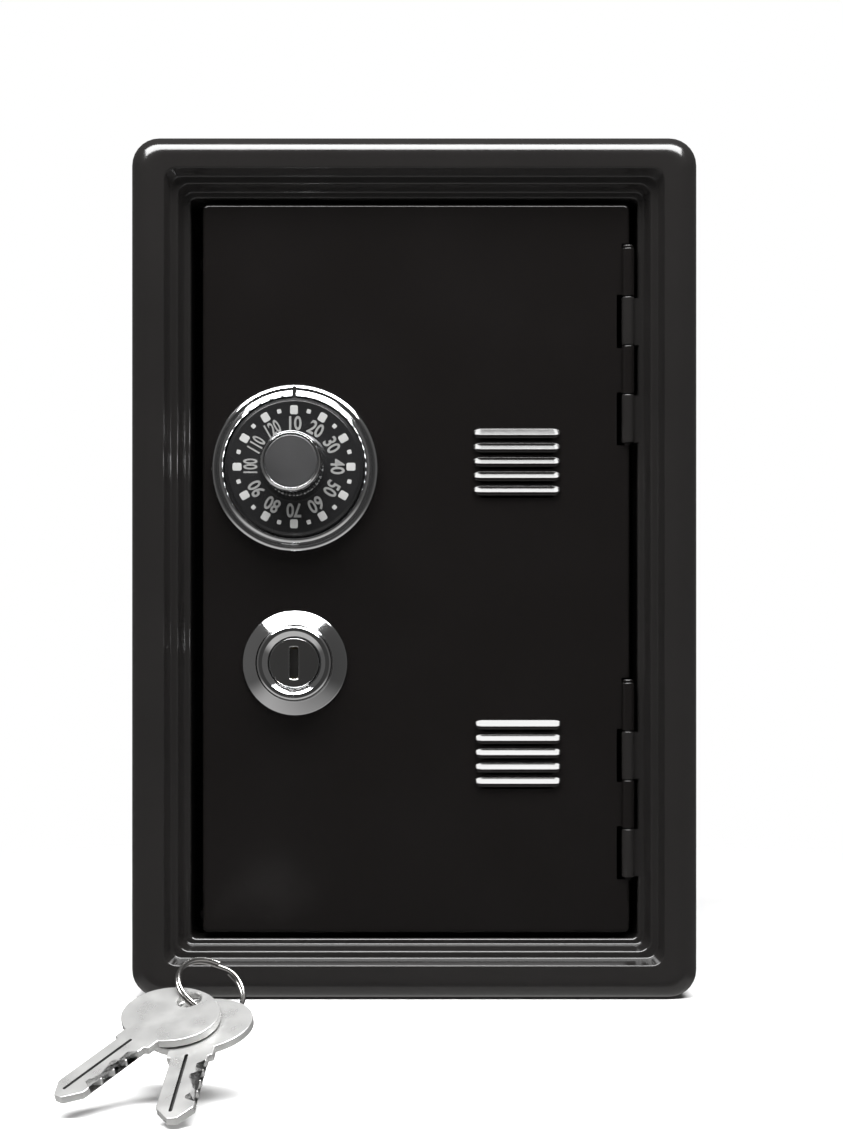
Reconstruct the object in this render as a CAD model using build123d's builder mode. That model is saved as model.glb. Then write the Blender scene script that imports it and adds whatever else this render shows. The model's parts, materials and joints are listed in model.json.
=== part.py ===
"""Toy safe coin bank: a pressed steel box with a hinged door, a combination dial and a key lock.

Millimetres, +Z up. The origin is the centre of the base; the door faces -Y and its hinges are at +X.
"""

from build123d import *
from math import cos, radians, sin
import os

# Casing
safe_width = 120.0
safe_depth = 100.0
safe_height = 182.5
sheet = 0.9
casing_corner_radius = 5.8
front_edge_roll = 4.5
back_edge_roll = 3.0
front_y = -safe_depth / 2
back_y = safe_depth / 2
mid_height = safe_height / 2

# Stepped front frame: each step slopes inwards by step_run while it drops by its depth
step_run = 1.2
step_corner_radius = 2.6
step_insets = (7.2, 9.8)
step_depths = (2.8, 3.0)
opening_inset = 12.3
opening_corner_radius = 1.2
frame_skirt_depth = 6.0
frame_lap_depth = 8.0
lap_clearance = 0.05
lip_y = front_y + sum(step_depths)
return_flange_y = -36.0
opening_half_width = safe_width / 2 - opening_inset

# Coin slot in the top
slot_length = 36.0
slot_width = 4.8
slot_cut_depth = 4.5

# Back panel
back_opening_inset = 9.0
back_panel_inset = 3.2
bead_inset = 22.0
bead_rise = 1.2
bead_fillet = 0.8
rivet_inset = 6.2
rivet_radius = 1.2
rivet_head_radius = 2.4
rivet_head_height = 0.9
rivet_head_fillet = 0.7
rivet_tail_radius = 1.8

# Door
door_width = 91.2
door_height = 155.6
door_centre_x = 0.4
door_face_y = -44.6
door_back_y = door_face_y + sheet
door_flange_y = -37.8
door_corner_radius = 1.2
door_bend = 0.85

# Hinges: door, frame, door, frame knuckles from the top down
hinge_x = 45.6
hinge_y = door_face_y
hinge_tops = {"upper": 159.4, "lower": 66.8}
knuckle_count = 4
knuckle_length = 10.4
knuckle_gap = 0.2
knuckle_radius = 1.35
pin_radius = 0.7
pin_clearance = 0.05
pin_head_radius = 1.15
pin_head_height = 0.5
pin_head_fillet = 0.3
pin_tail = 0.4
pin_head_clearance = 0.2
notch_x = 43.2
notch_width = 5.0
notch_depth = 10.0
hinge_relief = 0.6
leaf_thickness = 0.8

# Louvres pressed in the door
louvre_length = 18.7
louvre_height = 2.45
louvre_pitch = 3.05
louvre_rise = 1.35
louvre_wall = 0.5
louvre_fillet = 0.75
louvre_slit = 0.75
louvre_count = 5
louvre_centres = [(21.9, 113.9), (22.2, 51.8)]

# Combination dial
dial_x = -25.4
dial_z = 112.4
ring_radius = 17.65
ring_inner_radius = 14.95
ring_floor = 0.6
ring_shoulder_rise = 1.7
outer_ridge_radius = 17.1
outer_ridge_rise = 2.6
ring_groove_radius = 16.2
ring_groove_rise = 1.95
inner_ridge_radius = 15.5
inner_ridge_rise = 4.0
ring_inner_rise = 3.5
index_width = 0.7
index_length = 2.0
index_depth = 2.5
disc_radius = 14.7
disc_back = 1.7
disc_front = 4.2
disc_chamfer = 0.7
knob_radius = 6.3
knob_front = 15.6
knob_bore_depth = 8.0
knob_chamfer = 0.5
knob_cap_radius = 5.65
knob_cap_thickness = 0.8
knob_cap_recess = 0.15
spindle_radius = 2.5
spindle_square = 3.4
spindle_screw_depth = 6.0
bush_flange_radius = 6.0
bush_flange_top = 1.4
bush_radius = 4.0
bush_end_y = -36.4
bush_nut_size = 11.0
bush_nut_thickness = 2.5
washer_dish = 0.4
washer_thickness = 0.25
running_clearance = 0.05

# Key lock, straight below the dial
lock_x = dial_x
lock_z = 71.0
flange_radius = 11.2
flange_height = 1.6
head_radius = 8.15
head_height = 5.8
flange_fillet = 1.0
head_fillet = 1.2
mouth_chamfer = 0.9
lock_body_radius = 7.6
lock_body_flat = 6.6
flat_cut = 4.0
lock_body_end_y = -36.6
lock_nut_size = 19.0
lock_nut_thickness = 3.0
plug_radius = 5.45
plug_front = 4.9
plug_chamfer = 0.4
plug_end_y = -36.4
tail_square = 4.6
keyway_width = 1.7
keyway_height = 6.6
keyway_floor = 2.0
wafer_count = 4
wafer_pitch = 2.1
wafer_thickness = 0.6
wafer_play = 0.05
wafer_offset = -0.7
wafer_width = 4.6
wafer_wing_width = 1.6
wafer_wing_height = 1.2
wafer_window_width = 2.4
wafer_window_height = 6.2
first_wafer_y = -46.4
spring_offset = 2.35
spring_foot_rise = -1.9
spring_height = 3.8
spring_room = 0.4
spring_pitch = 0.6
spring_coil_radius = 0.42
spring_wire_radius = 0.12
spring_pocket_radius = 0.62
stop_washer_thickness = 0.8
stop_tab_radius = 7.2
stop_tab_width = 2.5
stop_wall_radius = 5.75
stop_window_reach = 20.0
stop_window_margin = 5.5
stop_washer_play = 0.1
stop_washer_clearance = 0.3

# The bolt cam and the gate wheel work in one plane, just behind the frame's return flange
cam_front_y = -35.5
cam_thickness = 1.5
bolt_reach = 26.5
bolt_half_width = 4.0
blocker_half_width = 2.5
blocker_angle = 38.0
cam_hub_radius = 6.6
wheel_radius = 17.5
wheel_thickness = 1.8
wheel_front_y = -35.6
wheel_hole_place = 10.5
wheel_hole_radius = 3.2
gate_clearance = 0.6
screw_head_radius = 3.6
screw_head_height = 1.6
screw_head_fillet = 0.9
screw_slot_length = 3.6
screw_slot_width = 0.7
screw_slot_depth = 0.9
screw_shank_radius = 1.2
wheel_screw_length = 5.5
cam_screw_length = 3.6
cam_screw_bore = 3.8

# Keys and their ring hang in front, clear of the door's swing: each blade falls from the ring towards the floor
key_thickness = 1.3
key_layer = 0.8
key_hole_radius = 2.05
key_reach = 29.2
bow_half_length = 7.3
bow_half_width = 8.9
bow_centre = 4.45
blade_half_width = 3.0
blade_start = 13.3
shoulder_half_width = 3.8
blade_tip_length = 3.0
blade_tip_half_width = 0.8
key_cut_places = (15.9, 18.6, 21.3, 24.0)
key_cut_depths = (1.3, 1.9, 0.9, 1.6)
key_cut_half_width = 1.25
key_cut_flat = 0.35
groove_offset = -0.5
groove_half_width = 0.42
groove_depth = 0.4
key_ring_radius = 5.85
key_ring_wire = 0.45
key_ring_twist = -36.0
key_hang_point = Vector(-36.1, -138.5, 13.65)
front_key_fall = Vector(-18.5, -20.5, -11.8).normalized()
rear_key_fall = Vector(-2.0, -27.3, -12.2).normalized()

# How far cutting shapes run past the surface that they cut
overcut = 0.1
reach_past = 1.0

os.makedirs("parts", exist_ok=True)


def front_plane(y, x=0.0, z=0.0):
    """Plane at depth y that faces the front: local x is +X and local y is +Z."""
    return Plane(origin=(x, y, z), x_dir=(1, 0, 0), z_dir=(0, -1, 0))


def save(builder, name):
    """Label a finished piece and write it to its own file."""
    builder.part.label = name
    export_step(builder.part, f"parts/{name}.step")


def casing_rectangle(inset, radius, mode=Mode.ADD):
    """Rounded rectangle that follows the casing's outline, inset from it."""
    return RectangleRounded(safe_width - 2 * inset, safe_height - 2 * inset, radius, mode=mode)


def stepped_form(skin):
    """Solid bounded by the frame's front surface, with every surface moved inwards by skin."""
    with BuildPart() as form:
        with BuildSketch(front_plane(front_y + skin, z=mid_height)):
            casing_rectangle(skin, casing_corner_radius - skin)
        extrude(amount=front_y + skin - return_flange_y)
        fillet(form.faces().sort_by(Axis.Y)[0].edges(), front_edge_roll - skin)
        drop = front_y + skin
        for inset, depth in zip(step_insets, step_depths):
            slope = Vector(0, 1).get_angle(Vector(step_run, depth))
            with BuildSketch(front_plane(drop, z=mid_height)):
                casing_rectangle(inset - skin, step_corner_radius)
            extrude(amount=-depth, taper=slope, mode=Mode.SUBTRACT)
            drop = drop + depth
        with BuildSketch(front_plane(front_y, z=mid_height)):
            casing_rectangle(opening_inset - skin, opening_corner_radius)
        extrude(amount=-safe_depth / 2, mode=Mode.SUBTRACT)
    return form.part


def knuckle_spans(hinge, owner):
    """Bottom and top heights of the knuckles that belong to the door (0) or to the frame (1)."""
    spans = []
    for index in (owner, owner + 2):
        top = hinge_tops[hinge] - index * knuckle_length
        spans.append((top - knuckle_length + knuckle_gap, top))
    return spans


# ---------------------------------------------------------------- casing

outer_form = stepped_form(0.0)
inner_form = stepped_form(sheet)
skirt_y = front_y + frame_skirt_depth
lap_inset = sheet + lap_clearance
leaf_reach = opening_half_width - hinge_x + sheet

with BuildPart() as front_frame:
    add(outer_form)
    add(inner_form, mode=Mode.SUBTRACT)
    # The outer skirt stops at the lap seam, and a lap ring goes on inside the casing wrap
    with BuildSketch(front_plane(skirt_y, z=mid_height)):
        casing_rectangle(-reach_past, casing_corner_radius)
        casing_rectangle(lap_inset + sheet, casing_corner_radius - sheet, mode=Mode.SUBTRACT)
    extrude(amount=skirt_y - back_y, mode=Mode.SUBTRACT)
    with BuildSketch(front_plane(skirt_y - sheet, z=mid_height)):
        casing_rectangle(sheet / 2, casing_corner_radius - sheet / 2)
        casing_rectangle(lap_inset + sheet, casing_corner_radius - lap_inset - sheet, mode=Mode.SUBTRACT)
    extrude(amount=-sheet)
    with BuildSketch(front_plane(skirt_y, z=mid_height)):
        casing_rectangle(lap_inset, casing_corner_radius - lap_inset)
        casing_rectangle(lap_inset + sheet, casing_corner_radius - lap_inset - sheet, mode=Mode.SUBTRACT)
    extrude(amount=-frame_lap_depth)
    # Knuckles rolled from the frame's lip, with the pin bore through them
    for hinge in hinge_tops:
        for bottom, top in knuckle_spans(hinge, owner=1):
            with BuildSketch(Plane.XY.offset(bottom)):
                with Locations((hinge_x, hinge_y)):
                    Circle(knuckle_radius)
                with Locations((hinge_x, lip_y)):
                    Rectangle(leaf_reach, leaf_thickness, align=(Align.MIN, Align.MIN))
                with Locations((hinge_x, hinge_y)):
                    Circle(pin_radius + pin_clearance, mode=Mode.SUBTRACT)
            extrude(amount=top - bottom)
save(front_frame, "front_frame")

with BuildPart() as casing_wrap:
    with BuildSketch(front_plane(back_y, z=mid_height)):
        casing_rectangle(0, casing_corner_radius)
    extrude(amount=back_y - skirt_y)
    fillet(casing_wrap.faces().sort_by(Axis.Y)[-1].edges(), back_edge_roll)
    with BuildSketch(front_plane(back_y - sheet, z=mid_height)):
        casing_rectangle(sheet, casing_corner_radius - sheet)
    extrude(amount=back_y - skirt_y, mode=Mode.SUBTRACT)
    with BuildSketch(front_plane(back_y + reach_past, z=mid_height)):
        casing_rectangle(back_opening_inset, step_corner_radius)
    extrude(amount=back_edge_roll, mode=Mode.SUBTRACT)
    with BuildSketch(Plane.XY.offset(safe_height + reach_past)):
        SlotOverall(slot_length, slot_width)
    extrude(amount=-slot_cut_depth, mode=Mode.SUBTRACT)
    with BuildSketch(front_plane(back_y + reach_past, z=mid_height)):
        with GridLocations(safe_width - 2 * rivet_inset, safe_height - 2 * rivet_inset, 2, 2):
            Circle(rivet_radius)
    extrude(amount=back_edge_roll, mode=Mode.SUBTRACT)
save(casing_wrap, "casing_wrap")

panel_y = back_y - sheet
with BuildPart() as back_panel:
    with BuildSketch(front_plane(panel_y, z=mid_height)):
        casing_rectangle(back_panel_inset, step_corner_radius)
        with GridLocations(safe_width - 2 * rivet_inset, safe_height - 2 * rivet_inset, 2, 2):
            Circle(rivet_radius, mode=Mode.SUBTRACT)
    extrude(amount=sheet)
    # A pressed field stiffens the middle of the panel
    with BuildSketch(front_plane(panel_y, z=mid_height)):
        casing_rectangle(bead_inset, 2 * step_corner_radius)
    extrude(amount=-bead_rise)
    fillet(back_panel.faces().sort_by(Axis.Y)[-1].edges(), bead_fillet)
    with BuildSketch(front_plane(panel_y + bead_rise - sheet, z=mid_height)):
        casing_rectangle(bead_inset + sheet, 2 * step_corner_radius - sheet)
    extrude(amount=2 * bead_rise, mode=Mode.SUBTRACT)
save(back_panel, "back_panel")

with BuildPart() as back_rivets:
    with BuildSketch(front_plane(back_y + rivet_head_height, z=mid_height)):
        with GridLocations(safe_width - 2 * rivet_inset, safe_height - 2 * rivet_inset, 2, 2):
            Circle(rivet_head_radius)
    extrude(amount=rivet_head_height)
    fillet(back_rivets.faces().group_by(Axis.Y)[-1].edges(), rivet_head_fillet)
    with BuildSketch(front_plane(back_y, z=mid_height)):
        with GridLocations(safe_width - 2 * rivet_inset, safe_height - 2 * rivet_inset, 2, 2):
            Circle(rivet_radius)
    extrude(amount=3 * sheet)
    with BuildSketch(front_plane(panel_y - sheet, z=mid_height)):
        with GridLocations(safe_width - 2 * rivet_inset, safe_height - 2 * rivet_inset, 2, 2):
            Circle(rivet_tail_radius)
    extrude(amount=sheet)
save(back_rivets, "back_rivets")

for hinge, hinge_top in hinge_tops.items():
    with BuildPart() as hinge_pin:
        with BuildSketch(Plane.XY.offset(hinge_top - knuckle_count * knuckle_length - pin_tail)):
            with Locations((hinge_x, hinge_y)):
                Circle(pin_radius)
        extrude(amount=knuckle_count * knuckle_length + pin_tail + knuckle_gap)
        with BuildSketch(Plane.XY.offset(hinge_top + knuckle_gap)):
            with Locations((hinge_x, hinge_y)):
                Circle(pin_head_radius)
        extrude(amount=pin_head_height)
        fillet(hinge_pin.faces().sort_by(Axis.Z)[-1].edges(), pin_head_fillet)
    save(hinge_pin, f"{hinge}_hinge_pin")

# ---------------------------------------------------------------- door

with BuildPart() as door_panel:
    with BuildSketch(front_plane(door_face_y, x=door_centre_x, z=mid_height)):
        RectangleRounded(door_width, door_height, door_corner_radius)
    extrude(amount=door_face_y - door_flange_y)
    fillet(door_panel.faces().sort_by(Axis.Y)[0].edges(), door_bend)
    with BuildSketch(front_plane(door_back_y, x=door_centre_x, z=mid_height)):
        Rectangle(door_width - 2 * sheet, door_height - 2 * sheet)
    extrude(amount=door_back_y - door_flange_y, mode=Mode.SUBTRACT)
    # Louvres: raised hoods, hollow from behind and slit open along their lower edge
    for louvre_x, louvre_z in louvre_centres:
        with BuildSketch(front_plane(door_face_y, x=louvre_x, z=louvre_z)):
            with GridLocations(0, louvre_pitch, 1, louvre_count):
                SlotOverall(louvre_length, louvre_height)
        extrude(amount=louvre_rise)
    fillet(door_panel.faces().group_by(Axis.Y)[0].edges(), louvre_fillet)
    for louvre_x, louvre_z in louvre_centres:
        with BuildSketch(front_plane(door_back_y, x=louvre_x, z=louvre_z)):
            with GridLocations(0, louvre_pitch, 1, louvre_count):
                SlotOverall(louvre_length - 2 * louvre_wall, louvre_height - 2 * louvre_wall)
        extrude(amount=sheet + louvre_rise - louvre_wall, mode=Mode.SUBTRACT)
        with BuildSketch(front_plane(door_face_y, x=louvre_x, z=louvre_z - louvre_height / 2)):
            with GridLocations(0, louvre_pitch, 1, louvre_count):
                Rectangle(louvre_length - 2 * louvre_height, louvre_slit)
        extrude(amount=louvre_rise - louvre_wall, mode=Mode.SUBTRACT)
    # Room for the frame's knuckles, and no side flange beside the door's own
    for hinge, hinge_top in hinge_tops.items():
        hinge_bottom = hinge_top - knuckle_count * knuckle_length
        with BuildSketch(Plane.XY.offset(hinge_bottom - hinge_relief)):
            with Locations((notch_x, door_back_y)):
                Rectangle(notch_width, notch_depth, align=(Align.MIN, Align.MIN))
        extrude(amount=hinge_top - hinge_bottom + 2 * hinge_relief, mode=Mode.SUBTRACT)
        with BuildSketch(Plane.XY.offset(hinge_top)):
            with Locations((hinge_x - pin_head_radius - pin_head_clearance, door_face_y - reach_past)):
                Rectangle(notch_width, notch_depth, align=(Align.MIN, Align.MIN))
        extrude(amount=knuckle_gap + pin_head_height + 2 * pin_head_clearance, mode=Mode.SUBTRACT)
        for bottom, top in knuckle_spans(hinge, owner=1):
            with BuildSketch(Plane.XY.offset(bottom - hinge_relief)):
                with Locations((notch_x, door_face_y - reach_past)):
                    Rectangle(notch_width, notch_depth, align=(Align.MIN, Align.MIN))
            extrude(amount=top - bottom + 2 * hinge_relief, mode=Mode.SUBTRACT)
        for bottom, top in knuckle_spans(hinge, owner=0):
            with BuildSketch(Plane.XY.offset(bottom)):
                with Locations((hinge_x, hinge_y)):
                    Circle(knuckle_radius)
            extrude(amount=top - bottom)
            with BuildSketch(Plane.XY.offset(bottom)):
                with Locations((hinge_x, hinge_y)):
                    Circle(pin_radius + pin_clearance)
            extrude(amount=top - bottom, mode=Mode.SUBTRACT)
    # Holes for the dial's bush and for the lock's flatted body
    with BuildSketch(front_plane(door_face_y - reach_past)):
        with Locations((dial_x, dial_z)):
            Circle(bush_radius)
        with Locations((lock_x, lock_z)):
            Circle(lock_body_radius)
    extrude(amount=-3 * sheet, mode=Mode.SUBTRACT)
save(door_panel, "door_panel")

# ---------------------------------------------------------------- dial


def dial_plane(rise):
    """Plane through the dial's axis point that stands rise in front of the door's face."""
    return front_plane(door_face_y - rise, dial_x, dial_z)


# Half section in the plane that holds the dial's axis: local x is the radius, local y is outwards
dial_section = Plane(origin=(dial_x, door_face_y, dial_z), x_dir=(1, 0, 0), z_dir=(0, 0, 1))
dial_axis = Axis((dial_x, door_face_y, dial_z), (0, 1, 0))

with BuildPart() as dial_ring:
    with BuildSketch(dial_section):
        with BuildLine():
            Polyline(
                (bush_radius, 0),
                (ring_radius, 0),
                (ring_radius, -ring_shoulder_rise),
                (outer_ridge_radius, -outer_ridge_rise),
                (ring_groove_radius, -ring_groove_rise),
                (inner_ridge_radius, -inner_ridge_rise),
                (ring_inner_radius, -ring_inner_rise),
                (ring_inner_radius, -ring_floor),
                (bush_radius, -ring_floor),
                close=True,
            )
        make_face()
    revolve(axis=dial_axis)
    # Index line at twelve o'clock
    with BuildSketch(dial_plane(inner_ridge_rise + overcut)):
        with Locations((0, (ring_radius + ring_inner_radius) / 2)):
            Rectangle(index_width, index_length)
    extrude(amount=-index_depth - overcut, mode=Mode.SUBTRACT)
save(dial_ring, "dial_ring")

with BuildPart() as dial_bush:
    with BuildSketch(dial_plane(bush_flange_top)):
        Circle(bush_flange_radius)
    extrude(amount=ring_floor - bush_flange_top)
    with BuildSketch(dial_plane(ring_floor)):
        Circle(bush_radius)
    extrude(amount=door_face_y - ring_floor - bush_end_y)
    with BuildSketch(dial_plane(bush_flange_top)):
        Circle(spindle_radius + running_clearance)
    extrude(amount=door_face_y - bush_flange_top - bush_end_y, mode=Mode.SUBTRACT)
save(dial_bush, "dial_bush")

with BuildPart() as dial_bush_nut:
    with BuildSketch(front_plane(door_back_y, dial_x, dial_z)):
        RegularPolygon(bush_nut_size / 2, 6, major_radius=False)
        Circle(bush_radius, mode=Mode.SUBTRACT)
    extrude(amount=-bush_nut_thickness)
save(dial_bush_nut, "dial_bush_nut")

with BuildPart() as dial_disc:
    with BuildSketch(dial_plane(disc_back)):
        Circle(disc_radius)
    extrude(amount=disc_front - disc_back)
    chamfer(dial_disc.faces().sort_by(Axis.Y)[0].edges(), disc_chamfer)
    with BuildSketch(dial_plane(disc_front)):
        Circle(spindle_radius)
    extrude(amount=disc_back - disc_front, mode=Mode.SUBTRACT)
save(dial_disc, "dial_disc")

with BuildPart() as dial_knob:
    with BuildSketch(dial_plane(disc_front)):
        Circle(knob_radius)
    extrude(amount=knob_front - disc_front)
    chamfer(dial_knob.faces().sort_by(Axis.Y)[0].edges(), knob_chamfer)
    with BuildSketch(dial_plane(knob_front)):
        Circle(knob_cap_radius)
    extrude(amount=-knob_cap_thickness, mode=Mode.SUBTRACT)
    with BuildSketch(dial_plane(disc_front)):
        Circle(spindle_radius)
    extrude(amount=knob_bore_depth, mode=Mode.SUBTRACT)
save(dial_knob, "dial_knob")

with BuildPart() as dial_knob_cap:
    with BuildSketch(dial_plane(knob_front - knob_cap_thickness)):
        Circle(knob_cap_radius)
    extrude(amount=knob_cap_thickness - knob_cap_recess)
    chamfer(dial_knob_cap.faces().sort_by(Axis.Y)[0].edges(), knob_cap_recess)
save(dial_knob_cap, "dial_knob_cap")

wheel_back_y = wheel_front_y + wheel_thickness
with BuildPart() as dial_spindle:
    with BuildSketch(dial_plane(disc_front + knob_bore_depth)):
        Circle(spindle_radius)
    extrude(amount=door_face_y - disc_front - knob_bore_depth - wheel_front_y)
    with BuildSketch(front_plane(wheel_front_y, dial_x, dial_z)):
        Rectangle(spindle_square, spindle_square)
    extrude(amount=-wheel_thickness)
    with BuildSketch(front_plane(wheel_back_y, dial_x, dial_z)):
        Circle(screw_shank_radius)
    extrude(amount=spindle_screw_depth, mode=Mode.SUBTRACT)
save(dial_spindle, "dial_spindle")

with BuildPart() as dial_spring_washer:
    with BuildSketch(Plane(origin=(dial_x, wheel_front_y, dial_z), x_dir=(1, 0, 0), z_dir=(0, 0, 1))):
        with BuildLine():
            Polyline(
                (spindle_radius + running_clearance, 0),
                (bush_radius, -washer_dish),
                (bush_radius, -washer_dish - washer_thickness),
                (spindle_radius + running_clearance, -washer_thickness),
                close=True,
            )
        make_face()
    revolve(axis=dial_axis)
save(dial_spring_washer, "dial_spring_washer")

gate_wheel_plane = front_plane(wheel_front_y, dial_x, dial_z)
with BuildPart() as gate_wheel:
    with BuildSketch(gate_wheel_plane):
        Circle(wheel_radius)
        Rectangle(spindle_square, spindle_square, mode=Mode.SUBTRACT)
        # The gate is struck about the lock's axis so that the blocker can sweep through it
        with Locations((0, lock_z - dial_z)):
            Circle(bolt_reach + gate_clearance, mode=Mode.SUBTRACT)
        with PolarLocations(wheel_hole_place, 3, start_angle=90):
            Circle(wheel_hole_radius, mode=Mode.SUBTRACT)
    extrude(amount=-wheel_thickness)
save(gate_wheel, "gate_wheel")


def pan_screw(y, x, z, shank_length):
    """Cross-slotted pan-head screw whose head bears on depth y and whose shank goes forwards."""
    with BuildPart() as screw:
        with BuildSketch(front_plane(y, x, z)):
            Circle(screw_head_radius)
        extrude(amount=-screw_head_height)
        fillet(screw.faces().sort_by(Axis.Y)[-1].edges(), screw_head_fillet)
        with BuildSketch(front_plane(y + screw_head_height, x, z)):
            Rectangle(screw_slot_width, screw_slot_length)
            Rectangle(screw_slot_length, screw_slot_width)
        extrude(amount=screw_slot_depth, mode=Mode.SUBTRACT)
        with BuildSketch(front_plane(y, x, z)):
            Circle(screw_shank_radius)
        extrude(amount=shank_length)
    return screw


gate_wheel_screw = pan_screw(wheel_back_y, dial_x, dial_z, wheel_screw_length)
save(gate_wheel_screw, "gate_wheel_screw")

# ---------------------------------------------------------------- key lock


def lock_plane(rise):
    """Plane through the lock's axis point that stands rise in front of the door's face."""
    return front_plane(door_face_y - rise, lock_x, lock_z)


def lock_depth_plane(y):
    """Plane through the lock's axis at depth y."""
    return front_plane(y, lock_x, lock_z)


with BuildPart() as lock_housing:
    with BuildSketch(lock_plane(0)):
        Circle(flange_radius)
    extrude(amount=flange_height)
    fillet(lock_housing.faces().sort_by(Axis.Y)[0].edges(), flange_fillet)
    with BuildSketch(lock_plane(flange_height)):
        Circle(head_radius)
    extrude(amount=head_height - flange_height)
    fillet(lock_housing.faces().sort_by(Axis.Y)[0].edges(), head_fillet)
    with BuildSketch(lock_plane(0)):
        Circle(lock_body_radius)
    extrude(amount=door_face_y - lock_body_end_y)
    with BuildSketch(lock_depth_plane(door_back_y)):
        with GridLocations(2 * lock_body_flat + flat_cut, 0, 2, 1):
            Rectangle(flat_cut, 2 * lock_body_radius)
    extrude(amount=door_back_y - lock_body_end_y, mode=Mode.SUBTRACT)
    # Stop wall: a ring at the rear with a window that the stop washer's tab can travel in
    with BuildSketch(lock_depth_plane(lock_body_end_y)):
        Circle(lock_body_radius)
        Circle(stop_wall_radius, mode=Mode.SUBTRACT)
        Polygon(
            (0, 0),
            (-stop_window_margin, stop_window_reach),
            (stop_window_reach, stop_window_reach),
            (stop_window_reach, -stop_window_margin),
            align=None,
            mode=Mode.SUBTRACT,
        )
        with GridLocations(2 * lock_body_flat + flat_cut, 0, 2, 1):
            Rectangle(flat_cut, 2 * lock_body_radius, mode=Mode.SUBTRACT)
    extrude(amount=-stop_washer_thickness)
    with BuildSketch(lock_plane(head_height)):
        Circle(plug_radius + running_clearance)
    extrude(amount=door_face_y - head_height - lock_body_end_y, mode=Mode.SUBTRACT)
    chamfer(lock_housing.faces().sort_by(Axis.Y)[0].edges().sort_by(SortBy.LENGTH)[0], mouth_chamfer)
save(lock_housing, "lock_housing")

with BuildPart() as lock_nut:
    with BuildSketch(lock_depth_plane(door_back_y)):
        RegularPolygon(lock_nut_size / 2, 6, major_radius=False)
        Circle(lock_body_radius, mode=Mode.SUBTRACT)
    extrude(amount=-lock_nut_thickness)
save(lock_nut, "lock_nut")

wafer_depths = [first_wafer_y + index * wafer_pitch for index in range(wafer_count)]
slot_play = wafer_thickness + 2 * wafer_play
with BuildPart() as lock_plug:
    with BuildSketch(lock_plane(plug_front)):
        Circle(plug_radius)
    extrude(amount=door_face_y - plug_front - plug_end_y)
    chamfer(lock_plug.faces().sort_by(Axis.Y)[0].edges(), plug_chamfer)
    with BuildSketch(lock_depth_plane(plug_end_y)):
        Rectangle(tail_square, tail_square)
    extrude(amount=plug_end_y - cam_front_y - cam_thickness)
    with BuildSketch(lock_plane(plug_front)):
        Rectangle(keyway_width, keyway_height)
    extrude(amount=door_face_y - plug_front - plug_end_y + keyway_floor, mode=Mode.SUBTRACT)
    for depth in wafer_depths:
        with BuildSketch(lock_depth_plane(depth - wafer_play)):
            with Locations((wafer_offset, 0)):
                Rectangle(wafer_width + 2 * wafer_play, 2 * (plug_radius + reach_past))
            with Locations((spring_offset, spring_foot_rise + spring_height - overcut)):
                Rectangle(wafer_wing_width + 2 * wafer_play, 2 * plug_radius, align=(Align.CENTER, Align.MIN))
        extrude(amount=-slot_play, mode=Mode.SUBTRACT)
        with BuildSketch(Plane.XY.offset(lock_z + spring_foot_rise)):
            with Locations((lock_x + spring_offset, depth + wafer_thickness / 2)):
                Circle(spring_pocket_radius)
        extrude(amount=spring_height + spring_room, mode=Mode.SUBTRACT)
    with BuildSketch(lock_depth_plane(cam_front_y + cam_thickness)):
        Circle(screw_shank_radius)
    extrude(amount=cam_screw_bore, mode=Mode.SUBTRACT)
save(lock_plug, "lock_plug")

for index, depth in enumerate(wafer_depths, start=1):
    with BuildPart() as lock_wafer:
        with BuildSketch(lock_depth_plane(depth)):
            with Locations((wafer_offset, 0)):
                Rectangle(wafer_width, 2 * plug_radius)
            with Locations((spring_offset, spring_foot_rise + spring_height + overcut)):
                Rectangle(wafer_wing_width, wafer_wing_height, align=(Align.CENTER, Align.MIN))
            Circle(plug_radius - running_clearance, mode=Mode.INTERSECT)
            Rectangle(wafer_window_width, wafer_window_height, mode=Mode.SUBTRACT)
        extrude(amount=-wafer_thickness)
    save(lock_wafer, f"lock_wafer_{index}")

with BuildPart() as lock_wafer_springs:
    for depth in wafer_depths:
        foot_z = lock_z + spring_foot_rise + 2 * spring_wire_radius
        spring_foot = Vector(lock_x + spring_offset, depth + wafer_thickness / 2, foot_z)
        with BuildLine():
            coil = Helix(spring_pitch, spring_height - spring_room, spring_coil_radius, center=spring_foot)
        with BuildSketch(Plane(origin=coil @ 0, z_dir=coil % 0)):
            Circle(spring_wire_radius)
        sweep(path=coil, is_frenet=True)
save(lock_wafer_springs, "lock_wafer_springs")

with BuildPart() as lock_stop_washer:
    with BuildSketch(lock_depth_plane(plug_end_y + running_clearance)):
        Circle(stop_wall_radius - stop_washer_clearance)
        Rectangle(stop_tab_width, stop_tab_radius, align=(Align.CENTER, Align.MIN))
        Rectangle(tail_square, tail_square, mode=Mode.SUBTRACT)
    extrude(amount=stop_washer_play - stop_washer_thickness)
save(lock_stop_washer, "lock_stop_washer")

with BuildPart() as lock_cam:
    with BuildSketch(lock_depth_plane(cam_front_y)):
        Circle(cam_hub_radius)
        # Bolt arm: down at rest, behind the frame when turned
        Rectangle(2 * bolt_half_width, bolt_reach + reach_past, align=(Align.CENTER, Align.MAX))
        # Blocker arm: has to pass the gate wheel on its way
        Rectangle(
            2 * blocker_half_width,
            bolt_reach + reach_past,
            rotation=blocker_angle,
            align=(Align.CENTER, Align.MIN),
        )
        Circle(bolt_reach, mode=Mode.INTERSECT)
        Rectangle(tail_square, tail_square, mode=Mode.SUBTRACT)
    extrude(amount=-cam_thickness)
save(lock_cam, "lock_cam")

lock_cam_screw = pan_screw(cam_front_y + cam_thickness, lock_x, lock_z, cam_screw_length)
save(lock_cam_screw, "lock_cam_screw")

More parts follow.
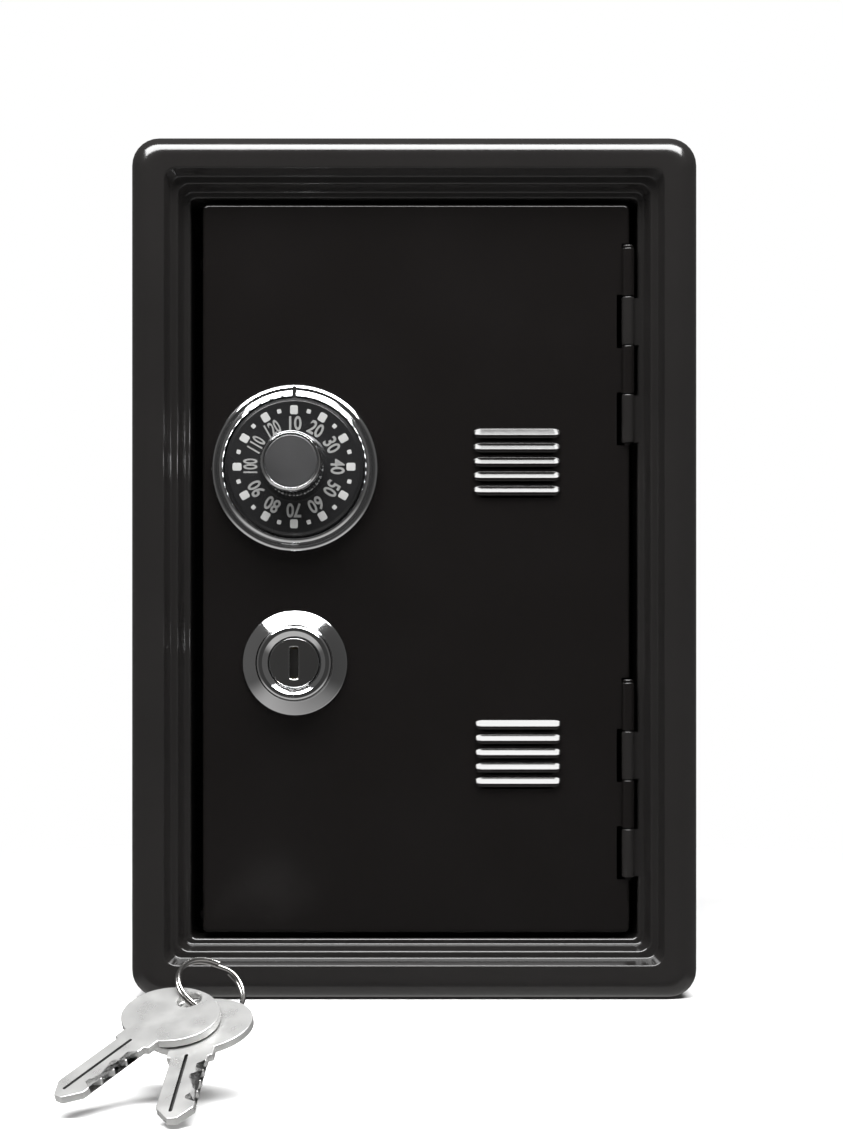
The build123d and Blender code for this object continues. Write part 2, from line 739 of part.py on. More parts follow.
# ---------------------------------------------------------------- keys

# Both keys lie in planes with one normal; the ring crosses those planes at a steep angle
key_normal = front_key_fall.cross(rear_key_fall).normalized()
upslope = (Vector(0, 0, 1) - key_normal * key_normal.Z).normalized()
slope_across = upslope.cross(key_normal)
twist = radians(key_ring_twist)
ring_tangent = slope_across * cos(twist) + key_normal * sin(twist)
ring_normal = upslope.cross(ring_tangent)
ring_centre = key_hang_point + upslope * key_ring_radius
layer_shift = key_layer / sin(twist)


def build_key(hole_centre, fall):
    """Flat key with its bow on the ring: local x runs from the bow's hole to the tip."""
    key_plane = Plane(origin=hole_centre, x_dir=fall, z_dir=key_normal)
    shoulder_length = blade_start - bow_centre
    with BuildPart() as key:
        with BuildSketch(key_plane.offset(-key_thickness / 2)):
            with Locations((bow_centre, 0)):
                Ellipse(bow_half_length, bow_half_width)
            with Locations((bow_centre, 0)):
                Rectangle(shoulder_length, 2 * shoulder_half_width, align=(Align.MIN, Align.CENTER))
            with Locations((bow_centre, 0)):
                Rectangle(key_reach - bow_centre, 2 * blade_half_width, align=(Align.MIN, Align.CENTER))
            Circle(key_hole_radius, mode=Mode.SUBTRACT)
            # Pointed tip and the bitting along one edge
            for side in (-1, 1):
                with BuildLine():
                    Polyline(
                        (key_reach + overcut, side * blade_tip_half_width),
                        (key_reach + overcut, side * (blade_half_width + overcut)),
                        (key_reach - blade_tip_length, side * (blade_half_width + overcut)),
                        (key_reach - blade_tip_length, side * blade_half_width),
                        close=True,
                    )
                make_face(mode=Mode.SUBTRACT)
            for place, depth in zip(key_cut_places, key_cut_depths):
                with BuildLine():
                    Polyline(
                        (place - key_cut_half_width, blade_half_width + overcut),
                        (place - key_cut_flat, blade_half_width - depth),
                        (place + key_cut_flat, blade_half_width - depth),
                        (place + key_cut_half_width, blade_half_width + overcut),
                        close=True,
                    )
                make_face(mode=Mode.SUBTRACT)
        extrude(amount=key_thickness)
        # A milled groove along both faces of the blade
        for face_height in (-key_thickness / 2, key_thickness / 2 - groove_depth):
            with BuildSketch(key_plane.offset(face_height)):
                with Locations(((blade_start + key_reach - blade_tip_length) / 2, groove_offset)):
                    SlotOverall(key_reach - blade_start, 2 * groove_half_width)
            extrude(amount=groove_depth, mode=Mode.SUBTRACT)
    return key


front_key_hole = key_hang_point + ring_tangent * layer_shift
rear_key_hole = key_hang_point - ring_tangent * layer_shift
front_key = build_key(front_key_hole, front_key_fall)
save(front_key, "front_key")
rear_key = build_key(rear_key_hole, rear_key_fall)
save(rear_key, "rear_key")

with BuildPart() as key_ring:
    with BuildSketch(Plane(origin=key_hang_point, x_dir=upslope, z_dir=ring_tangent)):
        Circle(key_ring_wire)
    revolve(axis=Axis(ring_centre, ring_normal))
save(key_ring, "key_ring")
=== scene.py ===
"""Looks of the toy safe coin bank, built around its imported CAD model.

Shapes are worked out in millimetres and scaled to metres when a piece is finished.
"""

import json
import math

import bmesh
import bpy
from mathutils import Matrix, Vector


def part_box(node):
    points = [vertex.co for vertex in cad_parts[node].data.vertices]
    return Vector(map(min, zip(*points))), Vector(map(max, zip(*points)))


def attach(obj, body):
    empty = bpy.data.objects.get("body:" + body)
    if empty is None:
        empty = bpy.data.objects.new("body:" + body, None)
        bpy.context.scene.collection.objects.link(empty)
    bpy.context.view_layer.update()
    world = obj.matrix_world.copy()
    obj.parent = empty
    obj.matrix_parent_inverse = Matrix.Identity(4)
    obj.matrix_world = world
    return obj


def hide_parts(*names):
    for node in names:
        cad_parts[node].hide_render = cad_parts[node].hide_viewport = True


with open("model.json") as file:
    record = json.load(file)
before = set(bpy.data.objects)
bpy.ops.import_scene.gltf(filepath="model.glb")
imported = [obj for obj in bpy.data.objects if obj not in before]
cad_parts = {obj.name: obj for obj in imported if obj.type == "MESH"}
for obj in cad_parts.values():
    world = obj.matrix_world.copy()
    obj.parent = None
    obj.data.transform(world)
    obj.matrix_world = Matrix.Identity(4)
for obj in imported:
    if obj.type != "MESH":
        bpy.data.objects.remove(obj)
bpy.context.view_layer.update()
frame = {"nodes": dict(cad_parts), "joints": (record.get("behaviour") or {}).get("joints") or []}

MM = 0.001


def box_mm(node):
    """Lowest and highest corner of a CAD node, in millimetres."""
    low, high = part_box(node)
    return low / MM, high / MM


wrap_low, wrap_high = box_mm("casing_wrap")
frame_low, _ = box_mm("front_frame")
width = wrap_high.x - wrap_low.x
height = wrap_high.z - wrap_low.z
front_y = frame_low.y
back_y = wrap_high.y
sheet = 0.9
seam_y = wrap_low.y
joints = {joint["name"]: joint for joint in frame["joints"]}
hinge_at = Vector(joints["door_hinge"]["pos_m"]) / MM
dial_at = Vector(joints["dial_turn"]["pos_m"]) / MM
lock_at = Vector(joints["lock_turn"]["pos_m"]) / MM

# ---------------------------------------------------------------- materials


def node_of(tree, kind, **inputs):
    """New shader node with some of its inputs set."""
    node = tree.nodes.new(kind)
    for label, value in inputs.items():
        node.inputs[label.replace("_", " ")].default_value = value
    return node


def rgba(colour):
    return (*colour, 1.0)


def material(
    name,
    colour,
    shade,
    roughness,
    metallic=0.0,
    grain=900.0,
    relief=0.012,
    stretch=(1.0, 1.0, 1.0),
    smudge=45.0,
    turned=None,
    ior=1.5,
):
    """Finish that varies in colour and roughness, with a fine relief. relief is the bump's height in mm.

    turned is the axis point, in metres, of rings left by a lathe tool.
    """
    made = bpy.data.materials.new(name)
    made.use_nodes = True
    tree = made.node_tree
    shader = tree.nodes["Principled BSDF"]
    shader.inputs["Metallic"].default_value = metallic
    shader.inputs["IOR"].default_value = ior
    place = tree.nodes.new("ShaderNodeTexCoord")
    mapping = node_of(tree, "ShaderNodeMapping", Scale=stretch)
    tree.links.new(place.outputs["Object"], mapping.inputs["Vector"])
    fine = node_of(tree, "ShaderNodeTexNoise", Scale=grain, Detail=5.0, Roughness=0.6)
    tree.links.new(mapping.outputs["Vector"], fine.inputs["Vector"])
    broad = node_of(tree, "ShaderNodeTexNoise", Scale=smudge, Detail=3.0, Roughness=0.5)
    tree.links.new(place.outputs["Object"], broad.inputs["Vector"])
    blend = tree.nodes.new("ShaderNodeMix")
    blend.data_type = "RGBA"
    blend.inputs["A"].default_value = rgba(colour)
    blend.inputs["B"].default_value = rgba(shade)
    tree.links.new(broad.outputs["Fac"], blend.inputs["Factor"])
    tree.links.new(blend.outputs["Result"], shader.inputs["Base Color"])
    spread = node_of(tree, "ShaderNodeMapRange", From_Min=0.3, From_Max=0.7)
    spread.inputs["To Min"].default_value = roughness[0]
    spread.inputs["To Max"].default_value = roughness[1]
    tree.links.new(broad.outputs["Fac"], spread.inputs["Value"])
    tree.links.new(spread.outputs["Result"], shader.inputs["Roughness"])
    bump = node_of(tree, "ShaderNodeBump", Strength=1.0, Distance=relief * MM)
    tree.links.new(fine.outputs["Fac"], bump.inputs["Height"])
    last = bump
    if turned is not None:
        offset = tree.nodes.new("ShaderNodeVectorMath")
        offset.operation = "SUBTRACT"
        offset.inputs[1].default_value = turned
        tree.links.new(place.outputs["Object"], offset.inputs[0])
        flat = tree.nodes.new("ShaderNodeVectorMath")
        flat.operation = "MULTIPLY"
        flat.inputs[1].default_value = (1.0, 0.0, 1.0)
        tree.links.new(offset.outputs["Vector"], flat.inputs[0])
        radius = tree.nodes.new("ShaderNodeVectorMath")
        radius.operation = "LENGTH"
        tree.links.new(flat.outputs["Vector"], radius.inputs[0])
        rings = tree.nodes.new("ShaderNodeTexNoise")
        rings.noise_dimensions = "1D"
        rings.inputs["Scale"].default_value = 9000.0
        rings.inputs["Detail"].default_value = 3.0
        tree.links.new(radius.outputs["Value"], rings.inputs["W"])
        lathe = node_of(tree, "ShaderNodeBump", Strength=1.0, Distance=0.006 * MM)
        tree.links.new(rings.outputs["Fac"], lathe.inputs["Height"])
        tree.links.new(bump.outputs["Normal"], lathe.inputs["Normal"])
        last = lathe
    tree.links.new(last.outputs["Normal"], shader.inputs["Normal"])
    return made


enamel_look = {"grain": 650.0, "relief": 0.005, "ior": 1.5}
frame_enamel = material(
    "black_enamel_frame", (0.0084, 0.0079, 0.0077), (0.0108, 0.0101, 0.0098), (0.12, 0.17),
    **enamel_look,
)
# The frame's black paint with its colour darkened, used on the door, louvres and hinge pins: painted shade
# of the recessed door
shaded_door_enamel = material(
    "black_enamel_door_painted_shade", (0.0036, 0.0031, 0.0029), (0.0047, 0.0041, 0.004), (0.12, 0.17),
    **enamel_look,
)
casing_enamel = material(
    "black_enamel_casing", (0.008, 0.0076, 0.0074), (0.011, 0.0105, 0.0102), (0.16, 0.24),
    **enamel_look,
)
chrome = material(
    "chrome_plate", (0.72, 0.73, 0.74), (0.8, 0.8, 0.81), (0.035, 0.07),
    metallic=1.0, grain=1500.0, relief=0.0006,
)
dial_black = material(
    "dial_plastic", (0.006, 0.006, 0.0062), (0.009, 0.009, 0.0095), (0.22, 0.3),
    grain=2400.0, relief=0.003,
)
dial_white = material(
    "dial_print", (0.23, 0.23, 0.225), (0.29, 0.29, 0.285), (0.35, 0.5),
    grain=3200.0, relief=0.002,
)
dial_grey = material(
    "dial_figures", (0.13, 0.13, 0.127), (0.17, 0.17, 0.167), (0.35, 0.5),
    grain=3200.0, relief=0.002,
)
plug_metal = material(
    "plug_metal", (0.6, 0.6, 0.6), (0.7, 0.7, 0.7), (0.1, 0.16),
    metallic=1.0, grain=1500.0, relief=0.001, turned=lock_at * MM,
)
cap_metal = material(
    "knob_cap_metal", (0.2, 0.2, 0.205), (0.27, 0.27, 0.275), (0.32, 0.42),
    metallic=1.0, grain=2500.0, relief=0.001, turned=dial_at * MM,
)
zinc = material(
    "zinc_steel", (0.5, 0.5, 0.48), (0.62, 0.6, 0.56), (0.28, 0.42),
    metallic=1.0, grain=1300.0, relief=0.003, smudge=160.0,
)
brass = material(
    "lock_brass", (0.62, 0.43, 0.18), (0.72, 0.52, 0.24), (0.2, 0.32),
    metallic=1.0, grain=1300.0, relief=0.002, smudge=160.0,
)
# Brass darkened far below lock_brass: painted shade inside the keyway, where the wafers show
wafer_brass_painted_shade = material(
    "wafer_brass_painted_shade", (0.16, 0.12, 0.06), (0.22, 0.17, 0.09), (0.3, 0.4),
    metallic=1.0, grain=1300.0, relief=0.002, smudge=300.0,
)
nickel = material(
    "key_nickel", (0.56, 0.56, 0.555), (0.62, 0.62, 0.61), (0.26, 0.36),
    metallic=0.75, grain=1600.0, relief=0.0015, smudge=260.0,
)
# Near-black metal for the faces inside each key's groove: painted shade in the groove
groove_painted_shade = material(
    "key_groove_painted_shade", (0.05, 0.05, 0.05), (0.09, 0.09, 0.09), (0.4, 0.5),
    metallic=1.0, grain=1600.0, relief=0.004, smudge=400.0,
)
ring_steel = material(
    "key_ring_steel", (0.42, 0.41, 0.4), (0.52, 0.51, 0.5), (0.16, 0.24),
    metallic=1.0, grain=1600.0, relief=0.002, smudge=300.0,
)

# ---------------------------------------------------------------- mesh helpers


def loft(rings, closed=False):
    """Skin over rings of points. closed joins the last to the first; otherwise both ends are capped."""
    bm = bmesh.new()
    rows = [[bm.verts.new(point) for point in ring] for ring in rings]
    pairs = list(zip(rows, rows[1:]))
    if closed:
        pairs.append((rows[-1], rows[0]))
    for first, second in pairs:
        for i in range(len(first)):
            j = (i + 1) % len(first)
            bm.faces.new((first[i], first[j], second[j], second[i]))
    if not closed:
        bm.faces.new(rows[0][::-1])
        bm.faces.new(rows[-1])
    return cleaned(bm)


def cleaned(bm):
    bmesh.ops.remove_doubles(bm, verts=bm.verts, dist=1e-4)
    bmesh.ops.dissolve_degenerate(bm, edges=bm.edges, dist=1e-5)
    bmesh.ops.recalc_face_normals(bm, faces=bm.faces)
    return bm


def folded_sheet(points, radii, wall):
    """Both sides of a sheet that follows 2-D points with rounded bends, its wall to their left."""
    points = [Vector(point) for point in points]

    def left_of(a, b):
        along = (b - a).normalized()
        return Vector((-along.y, along.x))

    first = left_of(points[0], points[1])
    show = [points[0]]
    back = [points[0] + first * wall]
    for k in range(1, len(points) - 1):
        n1 = left_of(points[k - 1], points[k])
        n2 = left_of(points[k], points[k + 1])
        radius = radii[k - 1]
        turn = math.atan2(n1.x * n2.y - n1.y * n2.x, n1.dot(n2))
        side = 1 if turn > 0 else -1
        mitre = (n1 + n2) / (1 + n1.dot(n2))
        centre = points[k] + mitre * radius * side
        steps = max(3, int(radius * 4 * abs(turn)) + 2)
        for i in range(steps + 1):
            normal = n1.copy()
            normal.rotate(Matrix.Rotation(turn * i / steps, 2))
            show.append(centre - normal * radius * side)
            if side > 0 and radius < wall:
                back.append(points[k] + mitre * wall)
            else:
                back.append(show[-1] + normal * wall)
    final = left_of(points[-2], points[-1])
    show.append(points[-1])
    back.append(points[-1] + final * wall)
    return show, back


def rounded_ring(x0, x1, z0, z1, radius, y, steps=7):
    """Points round a rectangle with rounded corners, at depth y."""
    ring = []
    corners = (
        (x1 - radius, z1 - radius),
        (x0 + radius, z1 - radius),
        (x0 + radius, z0 + radius),
        (x1 - radius, z0 + radius),
    )
    for quarter, (cx, cz) in enumerate(corners):
        for i in range(steps + 1):
            angle = math.radians(90 * (quarter + i / steps))
            ring.append((cx + radius * math.cos(angle), y, cz + radius * math.sin(angle)))
    return ring


def interpolate(table, value):
    """Value of a rising table of pairs at a place, held level beyond its ends."""
    if value <= table[0][0]:
        return table[0][1]
    for (a, fa), (b, fb) in zip(table, table[1:]):
        if value <= b:
            return fa + (fb - fa) * (value - a) / (b - a)
    return table[-1][1]


def revolve(profile, centre, segments=96, flute=None, axis="y"):
    """Closed profile of (radius, height) turned about an axis through centre.

    About y, height stands out towards -Y; about z it goes up. flute changes the radius at a place.
    """
    rings = []
    for k in range(segments):
        angle = 2 * math.pi * k / segments
        ring = []
        for radius, rise in profile:
            if flute is not None:
                radius = flute(angle, radius, rise)
            a, b = radius * math.cos(angle), radius * math.sin(angle)
            if axis == "y":
                ring.append((centre[0] + a, centre[1] - rise, centre[2] + b))
            else:
                ring.append((centre[0] + a, centre[1] + b, centre[2] + rise))
        rings.append(ring)
    return loft(rings, closed=True)


def rounded_profile(points, radii):
    """Closed profile of 2-D points, each corner rounded by its radius."""
    count = len(points)
    result = []
    for k in range(count):
        if radii[k] == 0.0:
            result.append(Vector(points[k]))
            continue
        trio = [points[k - 1], points[k], points[(k + 1) % count]]
        show, _ = folded_sheet(trio, [radii[k]], 0.0)
        result.extend(show[1:-1])
    return result


def boolean(base, tool, operation):
    """Base with tool cut from it or joined to it. Both meshes are in millimetres and are used up."""
    holders = []
    for label, bm in (("base", base), ("tool", tool)):
        mesh = bpy.data.meshes.new(label)
        bm.to_mesh(mesh)
        bm.free()
        holder = bpy.data.objects.new(label, mesh)
        bpy.context.scene.collection.objects.link(holder)
        holders.append(holder)
    modifier = holders[0].modifiers.new("cut", "BOOLEAN")
    modifier.object = holders[1]
    modifier.operation = operation
    modifier.solver = "MANIFOLD"
    bpy.context.view_layer.update()
    result = bmesh.new()
    result.from_object(holders[0], bpy.context.evaluated_depsgraph_get())
    for holder in holders:
        mesh = holder.data
        bpy.data.objects.remove(holder)
        bpy.data.meshes.remove(mesh)
    return cleaned(result)


def gathered(parts):
    """One mesh that holds several, left as separate shells."""
    whole = bmesh.new()
    for bm in parts:
        mesh = bpy.data.meshes.new("part")
        bm.to_mesh(mesh)
        bm.free()
        whole.from_mesh(mesh)
        bpy.data.meshes.remove(mesh)
    return whole


def block(x0, x1, y0, y1, z0, z1):
    """Plain box, used for cutting and for hinge leaves."""
    return loft([rounded_ring(x0, x1, z0, z1, 0.02, y, steps=1) for y in (y0, y1)])


def slab(outline, half_thickness, ease, place):
    """Flat plate with eased edges. outline is 2-D, and place is the matrix that sets it in the frame."""
    count = len(outline)
    rings = []
    for side in (-1, 1):
        angles = (90, 60, 30, 0) if side < 0 else (0, 30, 60, 90)
        for angle in angles:
            inset = ease * (1 - math.cos(math.radians(angle)))
            level = side * (half_thickness - ease * (1 - math.sin(math.radians(angle))))
            ring = []
            for k in range(count):
                before, here, after = outline[k - 1], outline[k], outline[(k + 1) % count]
                n1 = Vector((before.y - here.y, here.x - before.x)).normalized()
                n2 = Vector((here.y - after.y, after.x - here.x)).normalized()
                mitre = (n1 + n2) / max(0.4, 1 + n1.dot(n2))
                point = here + mitre * inset
                ring.append(place @ Vector((point.x, point.y, level)))
            rings.append(ring)
    return loft(rings)


def piece(name, bm, finish, body, stands_for=(), sharp=34.0):
    """Turn a mesh in millimetres into a piece that rides on a body."""
    bmesh.ops.scale(bm, vec=(MM, MM, MM), verts=bm.verts)
    mesh = bpy.data.meshes.new(name)
    bm.to_mesh(mesh)
    bm.free()
    mesh.shade_smooth()
    mesh.set_sharp_from_angle(angle=math.radians(sharp))
    mesh.materials.append(finish)
    made = bpy.data.objects.new(name, mesh)
    bpy.context.scene.collection.objects.link(made)
    weights = made.modifiers.new("weights", "WEIGHTED_NORMAL")
    weights.keep_sharp = True
    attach(made, body)
    if stands_for:
        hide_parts(*stands_for)
    return made


# ---------------------------------------------------------------- casing

corner_table = ((0.0, 5.8), (4.5, 3.6), (7.2, 2.7), (9.8, 2.5), (11.0, 1.9), (12.3, 1.2), (13.2, 0.7))


def casing_ring(inset, y):
    """The casing's outline, inset from it, at depth y."""
    radius = interpolate(corner_table, inset)
    return rounded_ring(-width / 2 + inset, width / 2 - inset, inset, height - inset, radius, y)


def casing_rings(section):
    return [casing_ring(point.x, point.y) for point in section]


step_1 = (7.2, 8.4, front_y + 2.8)
step_2 = (9.8, 11.0, front_y + 5.8)
opening_inset = 12.3
return_y = -36.0
show, back = folded_sheet(
    [
        (0.95, return_y),
        (0.95, seam_y - 0.1),
        (0.0, seam_y - 0.12),
        (0.0, front_y),
        (step_1[0], front_y),
        (step_1[1], step_1[2]),
        (step_2[0], step_1[2]),
        (step_2[1], step_2[2]),
        (opening_inset, step_2[2]),
        (opening_inset, return_y),
    ],
    [0.05, 0.25, 4.5, 0.4, 0.55, 0.55, 0.55, 0.75],
    sheet,
)
front_skin = loft(casing_rings(show + back[::-1]), closed=True)

knuckle_length = 10.4
knuckle_gap = 0.2
hinge_tops = {name: box_mm(f"{name}_hinge_pin")[1].z - 0.7 for name in ("upper", "lower")}


def knuckle(top):
    """Rolled knuckle whose top end is at a height, with eased ends and the pin's bore."""
    length = knuckle_length - knuckle_gap
    profile = rounded_profile(
        [(0.75, -length), (1.35, -length), (1.35, 0.0), (0.75, 0.0)],
        [0.05, 0.22, 0.22, 0.05],
    )
    return revolve(profile, (hinge_at.x, hinge_at.y, top), segments=32, axis="z")


def knuckle_tops(owner):
    """Heights of the tops of the door's knuckles (0) or of the frame's (1)."""
    tops = []
    for top in hinge_tops.values():
        for index in (owner, owner + 2):
            tops.append(top - index * knuckle_length)
    return tops


opening_half = width / 2 - opening_inset
for top in knuckle_tops(1):
    low = top - knuckle_length + knuckle_gap
    lip_y = step_2[2]
    leaf = block(hinge_at.x + 0.9, opening_half + 0.5, lip_y + 0.02, lip_y + 0.8, low + 0.1, top - 0.1)
    front_skin = boolean(front_skin, leaf, "UNION")
    front_skin = boolean(front_skin, knuckle(top), "UNION")
piece("front_frame_skin", front_skin, frame_enamel, "safe_body", ["front_frame"])

show, back = folded_sheet(
    [(9.0, back_y), (0.0, back_y), (0.0, seam_y + 0.1)],
    [3.0],
    sheet,
)
wrap = loft(casing_rings(show + back[::-1]), closed=True)


def stadium(half_length, half_width, z, steps=10):
    """Points round a coin slot at a height."""
    ring = []
    for side in (1, -1):
        for i in range(steps + 1):
            angle = math.radians(-90 + 180 * i / steps)
            x = side * (half_length - half_width + half_width * math.cos(angle))
            ring.append((x, side * half_width * math.sin(angle), z))
    return ring


slot_half_length, slot_half_width = 18.0, 2.4
ease = 0.4
slot_rings = []
for i in range(5):
    angle = math.radians(90 * i / 4)
    spread = ease * (1 - math.sin(angle))
    level = height - ease + ease * math.cos(angle)
    slot_rings.append(stadium(slot_half_length + spread, slot_half_width + spread, level))
past = ease + 0.1
slot_rings.insert(0, stadium(slot_half_length + past, slot_half_width + past, height + 0.5))
slot_rings.append(stadium(slot_half_length, slot_half_width, height - 3.0))
wrap = boolean(wrap, loft(slot_rings), "DIFFERENCE")
piece("casing_skin", wrap, casing_enamel, "safe_body", ["casing_wrap"])

panel_y = back_y - sheet
show, back = folded_sheet(
    [(30.0, panel_y + 1.2), (23.2, panel_y + 1.2), (21.6, panel_y), (3.2, panel_y)],
    [1.0, 1.0],
    sheet,
)
panel_table = ((3.2, 2.6), (21.6, 5.2), (23.2, 4.4), (30.0, 2.0))


def panel_rings(section):
    rings = []
    for point in section:
        inset = point.x
        radius = interpolate(panel_table, inset)
        side = width / 2 - inset
        rings.append(rounded_ring(-side, side, inset, height - inset, radius, point.y))
    return rings


plate = loft(panel_rings(show + back[::-1]))
piece("back_plate", plate, casing_enamel, "safe_body", ["back_panel"])

rivet_profile = rounded_profile(
    [
        (0.0, -2.7),
        (1.8, -2.7),
        (1.8, -1.8),
        (1.2, -1.8),
        (1.2, 0.0),
        (2.4, 0.0),
        (2.3, 0.5),
        (1.3, 0.88),
        (0.0, 0.9),
    ],
    [0.0, 0.2, 0.0, 0.0, 0.0, 0.1, 0.4, 0.8, 0.0],
)
rivets = []
rivet_inset = 6.2
for x in (-1, 1):
    for z in (-1, 1):
        centre = (x * (width / 2 - rivet_inset), back_y, height / 2 + z * (height / 2 - rivet_inset))
        rivet = revolve([(radius, -rise) for radius, rise in rivet_profile], centre, segments=32)
        rivets.append(rivet)
piece("rivets", gathered(rivets), zinc, "safe_body", ["back_rivets"])

# ---------------------------------------------------------------- door

face_y = hinge_at.y
door_flange_y = -37.8
show, back = folded_sheet(
    [(0.0, door_flange_y), (0.0, face_y), (4.0, face_y)],
    [0.85],
    sheet,
)


def door_ring(inset, y):
    radius = interpolate(((0.0, 1.2), (0.9, 0.6), (4.0, 0.4)), inset)
    return rounded_ring(-45.2 + inset, 46.0 - inset, 13.45 + inset, 169.05 - inset, radius, y, steps=5)


door_skin = loft([door_ring(point.x, point.y) for point in back[::-1] + show])


def louvre_bar(section, centre, half_length, end):
    """Section of (height, rise) drawn along X and shrunk to nothing over each end."""
    rings = []
    steps = 8
    places = []
    for i in range(steps + 1):
        places.append(-half_length + end * (1 - math.cos(math.radians(90 * i / steps))))
    places += [-place for place in places[::-1]]
    for place in places:
        past = max(0.0, abs(place) - (half_length - end)) / end
        scale = max(0.12, math.sqrt(max(0.0, 1 - past * past)))
        ring = []
        for z, rise in section:
            y = face_y - (rise * scale if rise > 0 else rise)
            ring.append((centre[0] + place, y, centre[1] + z * scale))
        rings.append(ring)
    return loft(rings)


louvre_rise = 1.1
hood = rounded_profile(
    [
        (-1.12, -0.3),
        (1.2, -0.3),
        (1.2, 0.0),
        (0.95, 0.03),
        (-0.55, louvre_rise),
        (-1.12, louvre_rise - 0.35),
    ],
    [0.01, 0.01, 0.01, 0.5, 0.4, 0.3],
)
hollow = [(-1.6, 0.1), (-0.7, -2.0), (0.6, -2.0), (0.6, -0.3), (-0.5, 0.7), (-1.6, 0.6)]
louvre_pitch = 3.05
louvre_count = 5
louvre_centres = {"upper": (21.9, 113.9), "lower": (22.2, 51.8)}


def louvre_hollow(at):
    """Cutter for the open inside of one louvre."""
    return louvre_bar(hollow, at, 8.4, 1.2)


for group, (centre_x, centre_z) in louvre_centres.items():
    hoods = []
    for index in range(louvre_count):
        at = (centre_x, centre_z + (index - louvre_count // 2) * louvre_pitch)
        door_skin = boolean(door_skin, louvre_hollow(at), "DIFFERENCE")
        hoods.append(boolean(louvre_bar(hood, at, 9.35, 1.7), louvre_hollow(at), "DIFFERENCE"))
    piece(f"{group}_louvres", gathered(hoods), shaded_door_enamel, "door")
relief = 0.6
for top in hinge_tops.values():
    bottom = top - 4 * knuckle_length
    tool = block(43.2, 48.2, -43.7, -33.7, bottom - relief, top + relief)
    door_skin = boolean(door_skin, tool, "DIFFERENCE")
    tool = block(hinge_at.x - 1.35, 48.2, -46.0, -36.0, top, top + 1.1)
    door_skin = boolean(door_skin, tool, "DIFFERENCE")
for top in knuckle_tops(1):
    tool = block(43.2, 48.2, -46.0, -36.0, top - knuckle_length + knuckle_gap - relief, top + relief)
    door_skin = boolean(door_skin, tool, "DIFFERENCE")
for top in knuckle_tops(0):
    door_skin = boolean(door_skin, knuckle(top), "UNION")
for at, radius in ((dial_at, 4.0), (lock_at, 7.6)):
    drill = [(0.0, -3.0), (radius, -3.0), (radius, 3.0), (0.0, 3.0)]
    hole = revolve(drill, (at.x, face_y, at.z), segments=48)
    door_skin = boolean(door_skin, hole, "DIFFERENCE")
piece("door_skin", door_skin, shaded_door_enamel, "door", ["door_panel"])

# ---------------------------------------------------------------- dial

dial_centre = (dial_at.x, face_y, dial_at.z)
ring_profile = rounded_profile(
    [
        (4.0, 0.0),
        (17.65, 0.0),
        (17.65, 2.05),
        (16.9, 2.52),
        (16.2, 1.95),
        (16.05, 3.3),
        (15.3, 3.78),
        (14.95, 3.5),
        (14.95, 0.6),
        (4.0, 0.6),
    ],
    [0.0, 0.1, 0.25, 0.3, 0.2, 0.3, 0.2, 0.1, 0.05, 0.05],
)
ring = revolve(ring_profile, dial_centre, segments=144)
index_half = 0.45
index_cut = block(
    dial_at.x - index_half,
    dial_at.x + index_half,
    face_y - 4.2,
    face_y - 1.5,
    dial_at.z + 14.9,
    dial_at.z + 17.4,
)
ring = boolean(ring, index_cut, "DIFFERENCE")
piece("dial_bezel", ring, chrome, "door", ["dial_ring"])

disc_profile = rounded_profile(
    [
        (2.5, 1.7),
        (14.7, 1.7),
        (14.7, 3.45),
        (13.95, 4.2),
        (7.4, 4.2),
        (7.0, 3.9),
        (6.4, 3.9),
        (2.5, 3.9),
    ],
    [0.0, 0.15, 0.2, 0.2, 0.1, 0.1, 0.05, 0.05],
)
disc = revolve(disc_profile, dial_centre, segments=144)
piece("dial_face", disc, dial_black, "dial", ["dial_disc"])


def dial_spot(angle, radius, rise):
    """Place on the dial: angle clockwise from the top."""
    a = math.radians(angle)
    return Vector((dial_at.x + radius * math.sin(a), face_y - rise, dial_at.z + radius * math.cos(a)))


def printed_bar(angle, radius, half_length, half_width):
    """Rounded bar of print that points at the dial's centre."""
    middle = dial_spot(angle, radius, 4.2)
    out = Vector((math.sin(math.radians(angle)), 0.0, math.cos(math.radians(angle))))
    across = Vector((out.z, 0.0, -out.x))
    corner = min(half_width, half_length) * 0.45
    flat = rounded_ring(-half_width, half_width, -half_length, half_length, corner, 0.0, steps=4)
    rings = []
    for spread, rise in ((1.0, -0.05), (1.0, 0.03), (0.93, 0.06)):
        ring = []
        for x, _, z in flat:
            ring.append(middle + across * x * spread + out * z * spread + Vector((0, -rise, 0)))
        rings.append(ring)
    return loft(rings)


marks = [printed_bar(30 * k, 12.03, 0.95, 0.82) for k in range(12)]
for k in range(12):
    marks.append(printed_bar(30 * k + 15, 12.1, 0.45, 0.45))
piece("dial_marks", gathered(marks), dial_white, "dial")

numbers = []
for k in range(12):
    label = bpy.data.curves.new("number", "FONT")
    label.body = str(10 * (k + 1))
    label.align_x = "CENTER"
    label.align_y = "CENTER"
    label.size = 3.75
    label.offset = 0.09
    label.extrude = 0.05
    label.resolution_u = 4
    holder = bpy.data.objects.new("number", label)
    bpy.context.scene.collection.objects.link(holder)
    bpy.context.view_layer.update()
    mesh = bpy.data.meshes.new_from_object(holder.evaluated_get(bpy.context.evaluated_depsgraph_get()))
    middle = dial_spot(30 * k, 9.05, 4.22)
    turn = Matrix.Rotation(math.radians(30 * k), 4, "Y") @ Matrix.Rotation(math.radians(90), 4, "X")
    narrow = 0.62 if k > 8 else 0.86
    mesh.transform(Matrix.Translation(middle) @ turn @ Matrix.Diagonal((narrow, 1.08, 1.0, 1.0)))
    bm = bmesh.new()
    bm.from_mesh(mesh)
    numbers.append(bm)
    bpy.data.objects.remove(holder)
    bpy.data.curves.remove(label)
    bpy.data.meshes.remove(mesh)
piece("dial_numbers", gathered(numbers), dial_grey, "dial")

